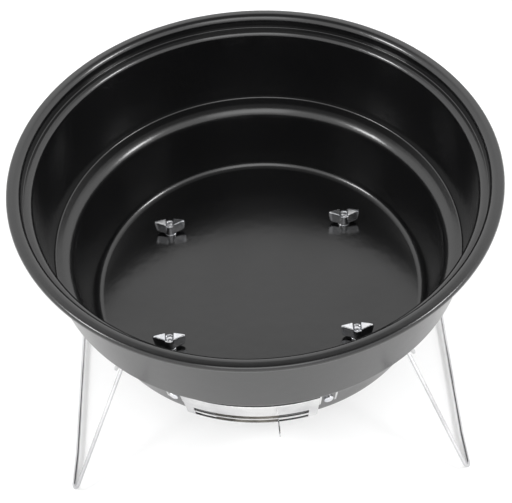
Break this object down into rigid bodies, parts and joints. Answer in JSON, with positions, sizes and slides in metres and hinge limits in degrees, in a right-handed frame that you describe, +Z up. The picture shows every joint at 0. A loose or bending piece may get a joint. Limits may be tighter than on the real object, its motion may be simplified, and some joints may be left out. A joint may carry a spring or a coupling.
{
  "type": "portable charcoal fire bowl",
  "caption": "Round black enamel fire bowl with a folded rim, a stepped wall and a sliding vent damper, on folding bent-wire legs.",
  "frame": {"origin": "on the bowl's vertical axis, at the ground the feet stand on", "axes": "+Z up along the bowl's axis; the vent and its thumb tab face the front, -Y; the leg hinges run along Y, one leg at -X and one at +X"},
  "size_m": [0.2804, 0.2804, 0.1644],
  "materials": {
    "black_enamel": "gloss",
    "chrome_sheet": "bright",
    "chrome_wire": "bright",
    "zinc_fastener": "bright"
  },
  "bodies": {
    "bowl": {"fire_bowl": "black_enamel", "vent_frame": "chrome_sheet", "vent_rivet_left": "chrome_sheet", "vent_rivet_right": "chrome_sheet", "bracket_front_left": "chrome_sheet", "bracket_front_right": "chrome_sheet", "bracket_back_left": "chrome_sheet", "bracket_back_right": "chrome_sheet", "bolt_front_left": "zinc_fastener", "bolt_front_right": "zinc_fastener", "bolt_back_left": "zinc_fastener", "bolt_back_right": "zinc_fastener", "washer_front_left": "zinc_fastener", "washer_front_right": "zinc_fastener", "washer_back_left": "zinc_fastener", "washer_back_right": "zinc_fastener", "wing_nut_front_left": "zinc_fastener", "wing_nut_front_right": "zinc_fastener", "wing_nut_back_left": "zinc_fastener", "wing_nut_back_right": "zinc_fastener"},
    "damper": {"vent_damper": "chrome_sheet"},
    "left_leg": {"leg_left": "chrome_wire"},
    "right_leg": {"leg_right": "chrome_wire"}
  },
  "joints": [
    {"name": "damper_slide", "type": "hinge", "parent": "bowl", "child": "damper", "pos_m": [0, 0, 0.066], "axis": [0, 0, 1], "range_deg": [-9.4, 9.1]},
    {"name": "left_leg_fold", "type": "hinge", "parent": "bowl", "child": "left_leg", "pos_m": [-0.085, 0, 0.0555], "axis": [0, -1, 0], "range_deg": [0, 123]},
    {"name": "right_leg_fold", "type": "hinge", "parent": "bowl", "child": "right_leg", "pos_m": [0.085, 0, 0.0555], "axis": [0, 1, 0], "range_deg": [0, 123]}
  ]
}
